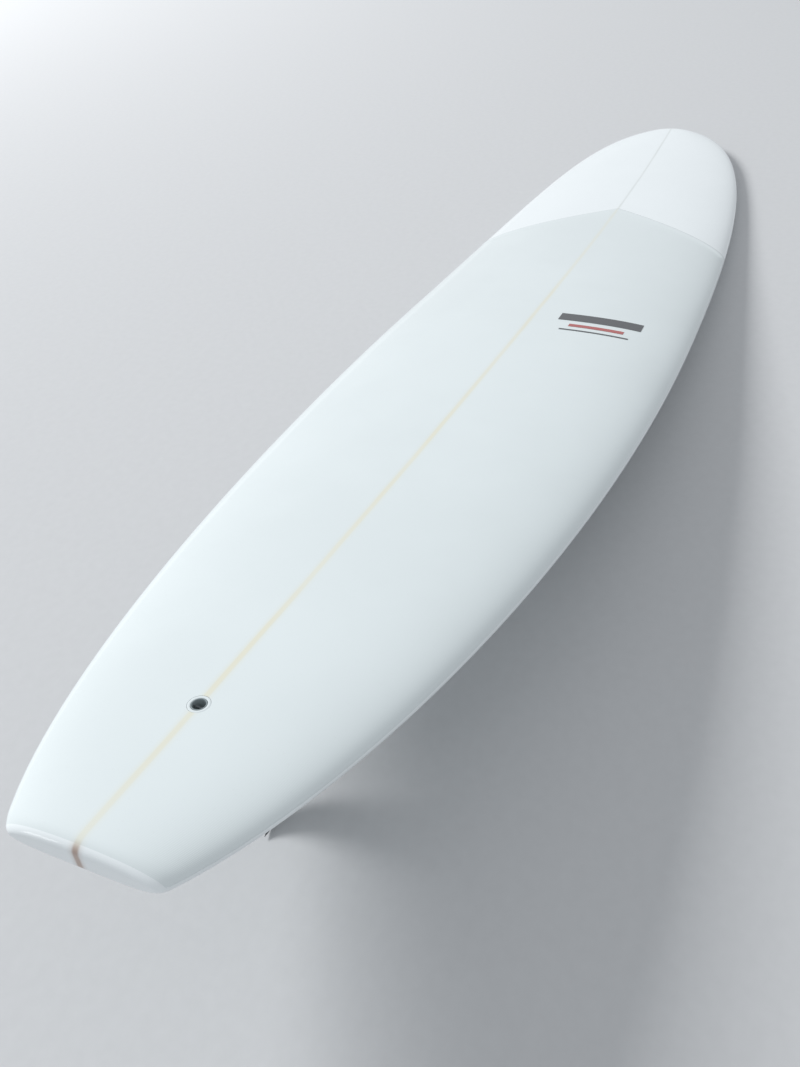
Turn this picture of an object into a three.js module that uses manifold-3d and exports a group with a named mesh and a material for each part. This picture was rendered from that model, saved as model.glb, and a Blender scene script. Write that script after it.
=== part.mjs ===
// A longboard surfboard with a square tail and one fin, in millimetres, +Z up.
// The board is drawn in its own frame, tail at x = 0 and nose at +x, left side at +y, with the lowest
// point of the belly at z = 0. It is then laid down as it rests on a flat floor: fin tip and front belly
// touch z = 0, so the whole board is pitched nose down, and the origin is the middle of its footprint.
import * as THREE from "three";
import { mergeVertices } from "three/addons/utils/BufferGeometryUtils.js";
import Module from "manifold-3d";

const wasm = await Module();
wasm.setup();

// ---------- sizes of the board ----------
const boardLength = 2743;
const boardWidth = 600;
const boardThickness = 81;
const touchGap = 0.3; // between faces that touch on the real board
const pastFace = 20; // how far a cutting shape reaches past the face that it opens

// plan outline: one curve from the tail corner to the wide point, one from there to the nose
const tailBlockWidth = 175;
const tailCornerRadius = 8;
const tailFlare = THREE.MathUtils.degToRad(35);
const tailHandle = 214;
const widePointFromTail = 1358;
const hipHandle = 640;
const shoulderHandle = 862;
const noseHandle = 248;
const noseCapHalfWidth = 12;

// rocker: how far the belly rises from its flat point to each end
const noseRocker = 125;
const tailRocker = 70;
const flatPointFromTail = 1289;
const noseRockerPower = 2.5;
const tailRockerPower = 2.2;

// foil: thickness at the ends, and where the board is thickest
const tailThickness = 35;
const noseThickness = 22;
const thickPointFromTail = 1322;
const foilPower = 2.2;

// section: height of the rail's outermost line, and how square the belly and the deck are
const apexShare = 0.42;
const bellyPower = 4.5;
const deckPower = 2.3;
const tailEdgeRadius = 14;
const noseEdgeRadius = 18;
const tailEndShare = 0.45;
const noseEndShare = 0.35;

// layers
const skinThickness = 1;
const patchThickness = 0.6;
const stringerThickness = 6.4;
const decalThickness = 0.3;

// deck patch: an extra layer of cloth from the tail to a point behind the nose
const patchPointFromTail = 2051;
const patchSweep = THREE.MathUtils.degToRad(35.2);
const patchAboveApex = 2;

// fin patch: a pointed oval of cloth over the fin box, cut away where the box lies
const finPatchLength = 400;
const finPatchWidth = 110;
const finPatchThickness = 0.5;

// deck decals: three plain bars on the right side of the stringer, each behind the one before
const decalFromTail = 1341;
const decalFromStringer = 131;
const longBar = { length: 158, width: 32, back: 0 };
const shortBar = { length: 104, width: 12, back: 38 };
const thinBar = { length: 130, width: 5, back: 60 };

// leash plug
const plugFromTail = 191;
const plugBore = 15;
const plugWall = 1.5;
const plugDepth = 14;
const plugFloor = 2.5;
const plugBarDiameter = 2.6;
const plugBarDepth = 5;
const plugPotting = 3.5;

// fin box, with its slot open downwards and a track in each side wall of the slot
const finBoxFromTail = 236; // from the tail to the box's rear end
const slotLength = 262;
const slotWidth = 9.8;
const slotDepth = 20.5;
const slotCorner = 2;
const slotEndWall = 7;
const slotSideWall = 7.1;
const slotRoof = 4.5;
const trackBottom = 12;
const trackHeight = 4.6;
const trackDepth = 3.6;
const entryClearance = 1; // round the fin plate where it drops into the track
const boxPotting = 3;
const boxRecess = 0.5; // the box's face under the belly's tangent, so that it stays flat

// fin
const finDepth = 216;
const finBaseLength = 165;
const finTabClearance = 1.5; // between the top of the fin's base and the slot's roof
const finSideClearance = 0.3;
const finRake = 112; // from the base's middle back to the middle of the tip
const finTipChord = 16;
const finTipThickness = 2.2;
const finEarLength = 20;
const finHeadRoom = 3.5;
const finRoot = 1; // how far the blade runs up into the slot
const finRearStep = 2; // the blade's rear edge ahead of the tab's, at the root
const finRootStep = 0.4; // how much thinner than the tab the blade starts
const finTaper = 0.8; // how fast the blade thins towards its tip
// where each edge's two curve handles lie: forward and down, as shares of the fin's depth
const leadingHandles = { upper: { back: 0.2, down: 0.4 }, lower: { forward: 0.42, down: 0.86 } };
const trailingHandles = { upper: { forward: 0.12, down: 0.4 }, lower: { forward: 0.02, down: 0.86 } };
const foilFullness = 2.45;
const foilBluntness = 0.12;

// fin fasteners
const trackClearance = 0.3; // on each side of the pin, in height and at its ends
const plateClearance = 0.7; // above and below the plate in the track
const pinFromRear = 7;
const plateLength = 13;
const screwDiameter = 4;
const screwHeadDiameter = 7.6;
const screwHeadHeight = 2.6;
const screwDriveWidth = 1.1;
const screwDriveDepth = 1.2;
const screwRoofGap = 1.5; // between the screw's end and the slot's roof
const screwNeck = 0.5; // how far the shank runs into the head

// facets
const stationsBehindWidePoint = 15;
const stationsAheadOfWidePoint = 17;
const bellySteps = 5;
const deckSteps = 7;
const roundSteps = 24;
const finSteps = 10;
const foilSteps = 8;
const foilStepPower = 1.6; // crowds the foil's points towards its round front
const outlineLookups = 200;
const tailArcTurns = [0, 18, 36, 54, 72, 90];

// ---------- materials ----------
const finish = (color, roughness, metalness = 0) =>
  new THREE.MeshStandardMaterial({ color, roughness, metalness });
const whiteLaminate = finish(0xe6eef2, 0.12);
const foamMaterial = finish(0xf2f0e6, 0.85);
const woodMaterial = finish(0xd9c89c, 0.55);
const resinMaterial = finish(0xf0f3f3, 0.15);
const darkPlastic = finish(0x4a5356, 0.35);
const whitePlastic = finish(0xdfe3e4, 0.4);
const finMaterial = finish(0x23272a, 0.25);
const steelMaterial = finish(0xb9bdc0, 0.3, 1);
const brassMaterial = finish(0xb99a55, 0.35, 1);
const darkInk = finish(0x2b2e31, 0.4);
const redInk = finish(0xb0453c, 0.4);

// ---------- closed meshes and solids ----------
// A closed mesh through a row of rings that all have the same number of points.
function loft(rings) {
  const perRing = rings[0].length;
  const points = rings.flat();
  const faces = [];
  for (let ring = 0; ring + 1 < rings.length; ring += 1) {
    for (let step = 0; step < perRing; step += 1) {
      const next = (step + 1) % perRing;
      const a = ring * perRing + step;
      const b = ring * perRing + next;
      const c = a + perRing;
      const d = b + perRing;
      faces.push(a, b, d, a, d, c);
    }
  }
  closeEnd(points, faces, 0, perRing, false);
  closeEnd(points, faces, (rings.length - 1) * perRing, perRing, true);
  const shape = new THREE.BufferGeometry().setFromPoints(points);
  shape.setIndex(faces);
  return shape;
}

// A fan from the middle of one end ring.
function closeEnd(points, faces, first, count, atFarEnd) {
  const middle = new THREE.Vector3();
  for (let step = 0; step < count; step += 1) middle.add(points[first + step]);
  middle.divideScalar(count);
  const hub = points.length;
  points.push(middle);
  for (let step = 0; step < count; step += 1) {
    const a = first + step;
    const b = first + ((step + 1) % count);
    if (atFarEnd) faces.push(hub, a, b);
    else faces.push(hub, b, a);
  }
}

// A solid for cutting and joining, with its faces turned outwards.
function solid(shape) {
  const bare = shape.clone();
  bare.deleteAttribute("normal");
  bare.deleteAttribute("uv");
  const closed = mergeVertices(bare, 1e-4);
  const corners = new Uint32Array(closed.index.array);
  const make = () =>
    new wasm.Manifold(
      new wasm.Mesh({
        numProp: 3,
        vertProperties: closed.attributes.position.array,
        triVerts: corners,
      }),
    );
  const made = make();
  if (made.volume() > 0) return made;
  for (let face = 0; face < corners.length; face += 3) {
    [corners[face + 1], corners[face + 2]] = [corners[face + 2], corners[face + 1]];
  }
  return make();
}

function meshFrom(name, made, material) {
  const { vertProperties, triVerts, numProp } = made.getMesh();
  const shape = new THREE.BufferGeometry();
  const places = new Float32Array((vertProperties.length / numProp) * 3);
  for (let corner = 0; corner * 3 < places.length; corner += 1) {
    places.set(vertProperties.subarray(corner * numProp, corner * numProp + 3), corner * 3);
  }
  shape.setAttribute("position", new THREE.BufferAttribute(places, 3));
  shape.setIndex(new THREE.BufferAttribute(new Uint32Array(triVerts), 1));
  const mesh = new THREE.Mesh(shape, material);
  mesh.name = name;
  return mesh;
}

function boxSolid(low, high, matrix = new THREE.Matrix4()) {
  const shape = new THREE.BoxGeometry(high[0] - low[0], high[1] - low[1], high[2] - low[2]);
  shape.translate((low[0] + high[0]) / 2, (low[1] + high[1]) / 2, (low[2] + high[2]) / 2);
  return solid(shape.applyMatrix4(matrix));
}

// An upright cylinder from zLow to zHigh.
function roundSolid(radius, zLow, zHigh, matrix = new THREE.Matrix4()) {
  const shape = new THREE.CylinderGeometry(radius, radius, zHigh - zLow, roundSteps);
  shape.rotateX(Math.PI / 2);
  shape.translate(0, 0, (zLow + zHigh) / 2);
  return solid(shape.applyMatrix4(matrix));
}

// A cylinder along y, centred on y = 0.
function crossPinSolid(radius, length, x, z) {
  const shape = new THREE.CylinderGeometry(radius, radius, length, roundSteps);
  shape.translate(x, 0, z);
  return solid(shape);
}

// An upright prism over a long plan shape with rounded corners.
function slotSolid(length, width, cornerRadius, zLow, zHigh, matrix = new THREE.Matrix4()) {
  const radius = Math.min(cornerRadius, width / 2 - 0.01, length / 2 - 0.01);
  const plan = new THREE.Shape();
  const x = length / 2 - radius;
  const y = width / 2 - radius;
  plan.absarc(x, y, radius, 0, Math.PI / 2);
  plan.absarc(-x, y, radius, Math.PI / 2, Math.PI);
  plan.absarc(-x, -y, radius, Math.PI, 1.5 * Math.PI);
  plan.absarc(x, -y, radius, 1.5 * Math.PI, 2 * Math.PI);
  const shape = new THREE.ExtrudeGeometry(plan, {
    depth: zHigh - zLow,
    bevelEnabled: false,
    curveSegments: 4,
  });
  shape.translate(0, 0, zLow);
  return solid(shape.applyMatrix4(matrix));
}

// ---------- the board's curves ----------
function bellyHeight(x) {
  if (x > flatPointFromTail) {
    const share = (x - flatPointFromTail) / (boardLength - flatPointFromTail);
    return noseRocker * share ** noseRockerPower;
  }
  const share = (flatPointFromTail - x) / flatPointFromTail;
  return tailRocker * share ** tailRockerPower;
}

function thicknessAt(x) {
  const behind = x < thickPointFromTail;
  const span = behind ? thickPointFromTail : boardLength - thickPointFromTail;
  const end = behind ? tailThickness : noseThickness;
  const share = Math.min(Math.abs(x - thickPointFromTail) / span, 1);
  return end + (boardThickness - end) * (1 - share ** foilPower);
}

const apexHeight = (x) => bellyHeight(x) + apexShare * thicknessAt(x);
const deckHeight = (x) => bellyHeight(x) + thicknessAt(x);

// The slope of a height curve, as an angle, positive where it rises towards the nose.
function slopeAt(height, x) {
  const step = 1;
  return Math.atan2(height(x + step) - height(x - step), 2 * step);
}

// How much of its full height the section keeps where the tail and the nose are rounded over.
function endShare(x) {
  if (x < tailEdgeRadius) {
    const rise = Math.sqrt(1 - ((tailEdgeRadius - x) / tailEdgeRadius) ** 2);
    return tailEndShare + (1 - tailEndShare) * rise;
  }
  const intoNose = x - (boardLength - noseEdgeRadius);
  if (intoNose <= 0) return 1;
  const fall = Math.sqrt(Math.max(1 - (intoNose / noseEdgeRadius) ** 2, 0));
  return noseEndShare + (1 - noseEndShare) * fall;
}

// Half widths along the board, from the tail to the nose.
function outlineStations() {
  const half = boardWidth / 2;
  const tailCorner = tailBlockWidth / 2;
  const hip = new THREE.CubicBezierCurve(
    new THREE.Vector2(0, tailCorner),
    new THREE.Vector2(
      tailHandle * Math.cos(tailFlare),
      tailCorner + tailHandle * Math.sin(tailFlare),
    ),
    new THREE.Vector2(widePointFromTail - hipHandle, half),
    new THREE.Vector2(widePointFromTail, half),
  );
  const shoulder = new THREE.CubicBezierCurve(
    new THREE.Vector2(widePointFromTail, half),
    new THREE.Vector2(widePointFromTail + shoulderHandle, half),
    new THREE.Vector2(boardLength, noseHandle),
    new THREE.Vector2(boardLength, 0),
  );
  const hipPoints = hip.getPoints(outlineLookups);
  const tailHalfWidth = (x) => {
    const next = Math.max(1, hipPoints.findIndex((point) => point.x >= x));
    const [a, b] = [hipPoints[next - 1], hipPoints[next]];
    return THREE.MathUtils.mapLinear(x, a.x, b.x, a.y, b.y);
  };
  const stations = [];
  for (const turn of tailArcTurns) {
    const x = tailEdgeRadius * (1 - Math.cos(THREE.MathUtils.degToRad(turn)));
    stations.push({ x, halfWidth: tailHalfWidth(x) - cornerLoss(x) });
  }
  for (const point of hip.getPoints(stationsBehindWidePoint)) {
    if (point.x > 1.5 * tailEdgeRadius) stations.push({ x: point.x, halfWidth: point.y });
  }
  for (const point of shoulder.getPoints(stationsAheadOfWidePoint).slice(1)) {
    if (point.y > noseCapHalfWidth) stations.push({ x: point.x, halfWidth: point.y });
  }
  stations.push({ x: boardLength, halfWidth: noseCapHalfWidth });
  return stations;
}

// How far the rounded tail corner takes the outline in at x.
function cornerLoss(x) {
  if (x >= tailCornerRadius) return 0;
  const share = (tailCornerRadius - x) / tailCornerRadius;
  return tailCornerRadius * (1 - Math.sqrt(1 - share * share));
}

const stations = outlineStations();

// The section at one station, drawn `inset` inside the board's surface (outside it if negative).
function sectionRing(station, inset) {
  const thickness = thicknessAt(station.x);
  const keep = endShare(station.x);
  const halfWidth = station.halfWidth - inset;
  const above = (1 - apexShare) * thickness * keep - inset;
  const below = apexShare * thickness * keep - inset;
  const x = inset + (station.x * (boardLength - 2 * inset)) / boardLength;
  const apex = apexHeight(station.x);
  const ring = [];
  const place = (turn, side, height, power) => {
    const share = Math.sin(turn);
    const rise = height * Math.sqrt(Math.max(1 - share ** power, 0));
    ring.push(new THREE.Vector3(x, side * halfWidth * share, apex + rise));
  };
  const quarter = Math.PI / 2;
  for (let step = 0; step < bellySteps; step += 1)
    place((quarter * step) / bellySteps, 1, -below, bellyPower);
  for (let step = 0; step < deckSteps; step += 1)
    place(quarter * (1 - step / deckSteps), 1, above, deckPower);
  for (let step = 0; step < deckSteps; step += 1)
    place((quarter * step) / deckSteps, -1, above, deckPower);
  for (let step = 0; step < bellySteps; step += 1)
    place(quarter * (1 - step / bellySteps), -1, -below, bellyPower);
  return ring;
}

const boardSolid = (inset) => solid(loft(stations.map((station) => sectionRing(station, inset))));

// Everything above (side = 1) or below (side = -1) a sheet that follows the rail's outermost line.
function railSide(side, shift) {
  const reach = boardWidth;
  const depth = boardThickness + noseRocker + tailRocker;
  const alongs = stations.map((station) => station.x);
  alongs[0] = -pastFace;
  alongs[alongs.length - 1] = boardLength + pastFace;
  const rings = stations.map((station, index) => {
    const near = apexHeight(station.x) + shift;
    const far = near + side * depth;
    const corners = [
      [-reach, near],
      [reach, near],
      [reach, far],
      [-reach, far],
    ];
    return corners.map(([y, z]) => new THREE.Vector3(alongs[index], y, z));
  });
  return solid(loft(rings));
}

// ---------- places on the board ----------
// A frame on the deck or the belly at x, with its own z square to the surface.
function surfacePlace(height, x, lift) {
  const tilt = slopeAt(height, x);
  const place = new THREE.Group();
  place.position.set(x - lift * Math.sin(tilt), 0, height(x) + lift * Math.cos(tilt));
  place.rotation.y = -tilt;
  place.updateMatrix();
  return place;
}

const patchTop = touchGap + patchThickness; // the patch's outer face above the deck skin
const plugPlace = surfacePlace(deckHeight, plugFromTail, patchTop);
const boxLength = slotLength + 2 * slotEndWall;
const boxWidth = slotWidth + 2 * slotSideWall;
const boxDepth = slotDepth + slotRoof;
const boxMiddle = finBoxFromTail + boxLength / 2;
const finPlace = surfacePlace(bellyHeight, boxMiddle, 0);

// ---------- leash plug ----------
function leashPlug() {
  const place = plugPlace.clone();
  const boreRadius = plugBore / 2;
  const outerRadius = boreRadius + plugWall;
  const bottom = -plugDepth - plugFloor;
  const bar = crossPinSolid(plugBarDiameter / 2, 2 * outerRadius - plugWall, 0, -plugBarDepth);
  const barHole = crossPinSolid(
    plugBarDiameter / 2 + touchGap,
    2 * outerRadius - plugWall + 2 * touchGap,
    0,
    -plugBarDepth,
  );
  const cup = roundSolid(outerRadius, bottom, 0)
    .subtract(roundSolid(boreRadius, -plugDepth, pastFace))
    .subtract(barHole);
  const potting = roundSolid(outerRadius + plugPotting, bottom - plugPotting, 0).subtract(
    roundSolid(outerRadius + touchGap, bottom - touchGap, pastFace),
  );
  place.add(
    meshFrom("leash_plug_cup", cup, darkPlastic),
    meshFrom("leash_plug_bar", bar, steelMaterial),
    meshFrom("leash_plug_potting", potting, resinMaterial),
  );
  return place;
}

// The hole that the plug's potting fills, in the board's frame.
function plugPocket() {
  const radius = plugBore / 2 + plugWall + plugPotting + touchGap;
  const bottom = -plugDepth - plugFloor - plugPotting - touchGap;
  return roundSolid(radius, bottom, pastFace, plugPlace.matrix);
}

// ---------- fin box ----------
const boxCorner = 6;
const trackTop = trackBottom + trackHeight;
const trackWidth = slotWidth + 2 * trackDepth;
const entryLength = plateLength + 2 * entryClearance;

// The board's own surface, seen from the fin box's frame, trims the box flush with the belly.
const bellyTrim = boardSolid(0).transform(finPlace.matrix.clone().invert().toArray());

function finBox() {
  const outer = slotSolid(boxLength, boxWidth, boxCorner, boxRecess, boxDepth);
  const slot = slotSolid(slotLength, slotWidth, slotCorner, -pastFace, slotDepth);
  const track = slotSolid(slotLength, trackWidth, slotCorner, trackBottom, trackTop);
  const entry = slotSolid(entryLength, trackWidth, slotCorner, -pastFace, trackTop);
  const box = outer.subtract(slot).subtract(track).subtract(entry).intersect(bellyTrim);
  return meshFrom("fin_box", box, whitePlastic);
}

function finBoxPotting() {
  const outer = pottingBlock(0);
  const inner = slotSolid(
    boxLength + 2 * touchGap,
    boxWidth + 2 * touchGap,
    boxCorner + touchGap,
    -pastFace,
    boxDepth + touchGap,
  );
  const potting = outer.subtract(inner).intersect(bellyTrim);
  return meshFrom("fin_box_potting", potting, resinMaterial);
}

// The block of resin that the box is set in, grown by `growth` on every face.
function pottingBlock(growth, matrix = new THREE.Matrix4()) {
  const around = 2 * (boxPotting + growth);
  const corner = boxCorner + boxPotting + growth;
  const top = boxDepth + boxPotting + growth;
  return slotSolid(boxLength + around, boxWidth + around, corner, -pastFace, top, matrix);
}

// ---------- fin ----------
// The fin's own frame: x forward, z up into the board, z = 0 at the belly.
const baseFront = finBaseLength / 2;
const baseRear = -finBaseLength / 2;
const tabFront = baseFront - finEarLength;
const tabThickness = slotWidth - 2 * finSideClearance;
const finTabHeight = slotDepth - finTabClearance;
const pinDiameter = trackHeight - 2 * trackClearance;
const plateThickness = trackHeight - 2 * plateClearance;
const pinX = baseRear + pinFromRear;
const trackMiddle = trackBottom + trackHeight / 2;
const earTop = trackMiddle - plateThickness / 2 - touchGap;
const screwX = baseFront - finEarLength / 2;

function finSolid() {
  const side = new THREE.Shape();
  side.moveTo(baseRear, 0);
  side.lineTo(tabFront, 0);
  side.lineTo(tabFront, finHeadRoom);
  side.lineTo(baseFront, finHeadRoom);
  side.lineTo(baseFront, earTop);
  side.lineTo(tabFront, earTop);
  side.lineTo(tabFront, finTabHeight);
  side.lineTo(baseRear, finTabHeight);
  side.closePath();
  const tab = new THREE.ExtrudeGeometry(side, { depth: tabThickness, bevelEnabled: false });
  tab.rotateX(Math.PI / 2);
  tab.translate(0, tabThickness / 2, 0);
  const pinHole = crossPinSolid(pinDiameter / 2 + touchGap, 2 * tabThickness, pinX, trackMiddle);
  const screwHole = roundSolid(screwDiameter / 2 + touchGap, 0, slotDepth);
  return solid(tab)
    .add(solid(loft(finRings())))
    .subtract(pinHole)
    .subtract(screwHole.translate([screwX, 0, 0]));
}

// Level foil sections from just inside the slot down to the tip.
function finRings() {
  const handle = (x, shares) =>
    new THREE.Vector2(
      x + ((shares.forward ?? 0) - (shares.back ?? 0)) * finDepth,
      -shares.down * finDepth,
    );
  const leading = new THREE.CubicBezierCurve(
    new THREE.Vector2(tabFront, finRoot),
    handle(tabFront, leadingHandles.upper),
    handle(-finRake, leadingHandles.lower),
    new THREE.Vector2(-finRake + finTipChord / 2, -finDepth),
  );
  const trailing = new THREE.CubicBezierCurve(
    new THREE.Vector2(baseRear + finRearStep, finRoot),
    handle(baseRear, trailingHandles.upper),
    handle(baseRear, trailingHandles.lower),
    new THREE.Vector2(-finRake - finTipChord / 2, -finDepth),
  );
  const rootThickness = tabThickness - finRootStep;
  const rings = [];
  for (let level = 0; level <= finSteps; level += 1) {
    const share = level / finSteps;
    const front = leading.getPoint(share);
    const rear = trailing.getPoint(share);
    const taper = (1 - share) ** finTaper;
    const thickness = finTipThickness + (rootThickness - finTipThickness) * taper;
    rings.push(foilRing(front, rear, thickness));
  }
  return rings;
}

// One symmetric foil section: full about a third back from its round front, thin at its rear.
function foilRing(front, rear, thickness) {
  const halfAt = (share) => {
    const fullness = foilFullness * (1 - foilBluntness) * share ** 0.5 * (1 - share) ** 0.9;
    return (thickness / 2) * Math.min(1, fullness + foilBluntness);
  };
  const along = (share) => THREE.MathUtils.lerp(front.x, rear.x, share);
  const ring = [];
  for (let step = 0; step <= foilSteps; step += 1) {
    const share = (step / foilSteps) ** foilStepPower;
    ring.push(new THREE.Vector3(along(share), halfAt(share), front.y));
  }
  for (let step = foilSteps; step >= 0; step -= 1) {
    const share = (step / foilSteps) ** foilStepPower;
    ring.push(new THREE.Vector3(along(share), -halfAt(share), front.y));
  }
  return ring;
}

function finFasteners() {
  const reach = trackWidth - 2 * trackClearance;
  const pin = crossPinSolid(pinDiameter / 2, reach, pinX, trackMiddle);
  const plateLow = [screwX - plateLength / 2, -reach / 2, trackMiddle - plateThickness / 2];
  const plateHigh = [screwX + plateLength / 2, reach / 2, trackMiddle + plateThickness / 2];
  const plateHole = roundSolid(screwDiameter / 2 + touchGap, 0, slotDepth);
  const plate = boxSolid(plateLow, plateHigh).subtract(plateHole.translate([screwX, 0, 0]));
  return [
    meshFrom("fin_pin", pin, brassMaterial),
    meshFrom("fin_plate", plate, brassMaterial),
    meshFrom("fin_screw", screwSolid(), steelMaterial),
  ];
}

function screwSolid() {
  const headTop = finHeadRoom - touchGap;
  const headBottom = headTop - screwHeadHeight;
  const shankTop = slotDepth - screwRoofGap;
  const drive = boxSolid(
    [-screwHeadDiameter, -screwDriveWidth / 2, headBottom - pastFace],
    [screwHeadDiameter, screwDriveWidth / 2, headBottom + screwDriveDepth],
  );
  return roundSolid(screwHeadDiameter / 2, headBottom, headTop)
    .add(roundSolid(screwDiameter / 2, headTop - screwNeck, shankTop))
    .subtract(drive)
    .translate([screwX, 0, 0]);
}

// ---------- core, skins and patches ----------
function core() {
  const inset = skinThickness + touchGap;
  const blank = boardSolid(inset)
    .subtract(plugPocket())
    .subtract(pottingBlock(touchGap, finPlace.matrix));
  const tall = boardThickness + noseRocker + tailRocker;
  const halfStringer = stringerThickness / 2;
  const slice = (from, to) =>
    blank.intersect(
      boxSolid([-pastFace, from, -pastFace], [boardLength + pastFace, to, tall + pastFace]),
    );
  return [
    meshFrom("foam_left", slice(halfStringer + touchGap, boardWidth), foamMaterial),
    meshFrom("foam_right", slice(-boardWidth, -halfStringer - touchGap), foamMaterial),
    meshFrom("stringer", slice(-halfStringer, halfStringer), woodMaterial),
  ];
}

function skins() {
  const shell = boardSolid(0).subtract(boardSolid(skinThickness));
  const deck = shell.intersect(railSide(1, touchGap / 2)).subtract(plugPocket());
  const belly = shell
    .intersect(railSide(-1, -touchGap / 2))
    .subtract(pottingBlock(touchGap, finPlace.matrix));
  return [
    meshFrom("deck_laminate", deck, whiteLaminate),
    meshFrom("bottom_laminate", belly, whiteLaminate),
  ];
}

function deckPatch() {
  const reach = boardWidth;
  const back = patchPointFromTail - reach * Math.tan(patchSweep);
  const plan = new THREE.Shape([
    new THREE.Vector2(-pastFace, -reach),
    new THREE.Vector2(back, -reach),
    new THREE.Vector2(patchPointFromTail, 0),
    new THREE.Vector2(back, reach),
    new THREE.Vector2(-pastFace, reach),
  ]);
  const tall = boardThickness + noseRocker + tailRocker;
  const under = new THREE.ExtrudeGeometry(plan, { depth: 2 * tall, bevelEnabled: false });
  const layer = boardSolid(-touchGap - patchThickness).subtract(boardSolid(-touchGap));
  const patch = layer
    .intersect(solid(under))
    .intersect(railSide(1, patchAboveApex))
    .subtract(plugPocket());
  return meshFrom("deck_patch", patch, whiteLaminate);
}

function finPatch() {
  const tip = finPatchLength / 2;
  const side = finPatchWidth;
  const plan = new THREE.Shape();
  plan.moveTo(-tip, 0);
  plan.quadraticCurveTo(0, -side, tip, 0);
  plan.quadraticCurveTo(0, side, -tip, 0);
  const prism = new THREE.ExtrudeGeometry(plan, {
    depth: boardThickness,
    bevelEnabled: false,
    curveSegments: 12,
  });
  prism.translate(0, 0, -boardThickness / 2);
  const layer = boardSolid(-touchGap - finPatchThickness).subtract(boardSolid(-touchGap));
  const patch = layer
    .intersect(railSide(-1, -patchAboveApex))
    .intersect(solid(prism.applyMatrix4(finPlace.matrix)))
    .subtract(pottingBlock(touchGap, finPlace.matrix));
  return meshFrom("fin_patch", patch, whiteLaminate);
}

function decals() {
  const lift = patchTop + touchGap;
  const layer = boardSolid(-lift - decalThickness).subtract(boardSolid(-lift));
  const bar = (size) => {
    const x = decalFromTail - size.back;
    const y = -decalFromStringer;
    return layer.intersect(
      boxSolid(
        [x - size.width / 2, y - size.length / 2, boardThickness / 2],
        [x + size.width / 2, y + size.length / 2, 2 * boardThickness],
      ),
    );
  };
  return [
    meshFrom("deck_decal_long", bar(longBar), darkInk),
    meshFrom("deck_decal_short", bar(shortBar), redInk),
    meshFrom("deck_decal_thin", bar(thinBar), darkInk),
  ];
}

// ---------- the whole board, laid on the floor ----------
// The nose-down pitch at which the fin tip and the front of the belly touch one plane: seen from the
// tip, the belly point that touches is the one that lies lowest.
function restPitch() {
  const tipFront = -finRake + finTipChord / 2;
  const tip = new THREE.Vector3(tipFront, 0, -finDepth).applyMatrix4(finPlace.matrix);
  let lowest = Math.PI / 2;
  for (let x = flatPointFromTail; x < boardLength; x += 0.5) {
    lowest = Math.min(lowest, Math.atan2(bellyHeight(x) - tip.z, x - tip.x));
  }
  return lowest;
}

const board = new THREE.Group();
board.add(...core(), ...skins(), deckPatch(), finPatch(), ...decals(), leashPlug());

const finGroup = finPlace.clone();
finGroup.add(finBox(), finBoxPotting(), meshFrom("fin", finSolid(), finMaterial), ...finFasteners());
board.add(finGroup);
board.rotation.y = restPitch();

const surfboard = new THREE.Group();
surfboard.add(board);
surfboard.updateMatrixWorld(true);
const footprint = new THREE.Box3().setFromObject(surfboard, true);
board.position.set(
  -(footprint.min.x + footprint.max.x) / 2,
  -(footprint.min.y + footprint.max.y) / 2,
  -footprint.min.z,
);

export default surfboard;
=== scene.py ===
# %% [markdown]
# # A glassed longboard, square tail, single fin
#
# A surfboard is a foam core split by a thin wooden stringer and wrapped in glass cloth set in clear
# resin. The engineering model already fixes where every part lies, so this lesson only rebuilds what
# the eye sees: the smooth glossy skin, the extra cloth on the deck, three printed bars, the leash plug
# and the fin. The frame is loaded first. The finished looks may not outgrow it.

# %% Load the fixed frame
import math

import bmesh
import bpy
from mathutils import Matrix, Vector


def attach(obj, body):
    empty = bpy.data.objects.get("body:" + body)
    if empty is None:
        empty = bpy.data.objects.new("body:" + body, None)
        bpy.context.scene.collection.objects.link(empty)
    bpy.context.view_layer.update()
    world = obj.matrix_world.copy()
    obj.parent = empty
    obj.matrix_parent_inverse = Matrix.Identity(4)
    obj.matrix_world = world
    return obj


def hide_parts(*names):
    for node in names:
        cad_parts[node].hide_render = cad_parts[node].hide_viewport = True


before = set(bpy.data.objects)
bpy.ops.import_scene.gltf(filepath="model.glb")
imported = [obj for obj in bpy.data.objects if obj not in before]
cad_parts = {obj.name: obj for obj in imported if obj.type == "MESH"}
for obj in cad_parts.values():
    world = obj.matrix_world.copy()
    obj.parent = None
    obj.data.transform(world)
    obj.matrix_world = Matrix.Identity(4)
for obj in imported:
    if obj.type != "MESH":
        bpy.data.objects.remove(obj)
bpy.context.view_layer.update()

MM = 0.001

# %% [markdown]
# ## The camera
#
# The board is seen from behind its tail and a little to its right, from above head height, so that
# its whole length runs away from the eye. A lens of about 31 mm on a 36 mm sensor gives the strong
# narrowing towards the nose. A camera could be aimed with a tracking constraint, but plain angles
# keep it where it is when other views move it.

# %% Set up the camera
CAMERA_PLACE = (-1.6121, -0.5117, 0.9843)
CAMERA_TURN = (50.004, 6.922, -66.407)
CAMERA_LENS = 30.81
SENSOR_LONG_SIDE = 36.0

camera_data = bpy.data.cameras.new("board_camera")
camera_data.lens = CAMERA_LENS
camera_data.sensor_width = SENSOR_LONG_SIDE
camera = bpy.data.objects.new("board_camera", camera_data)
camera.location = CAMERA_PLACE
camera.rotation_euler = [math.radians(angle) for angle in CAMERA_TURN]
bpy.context.scene.collection.objects.link(camera)
bpy.context.scene.camera = camera
print("camera lens", CAMERA_LENS, "mm at", CAMERA_PLACE)

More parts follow.
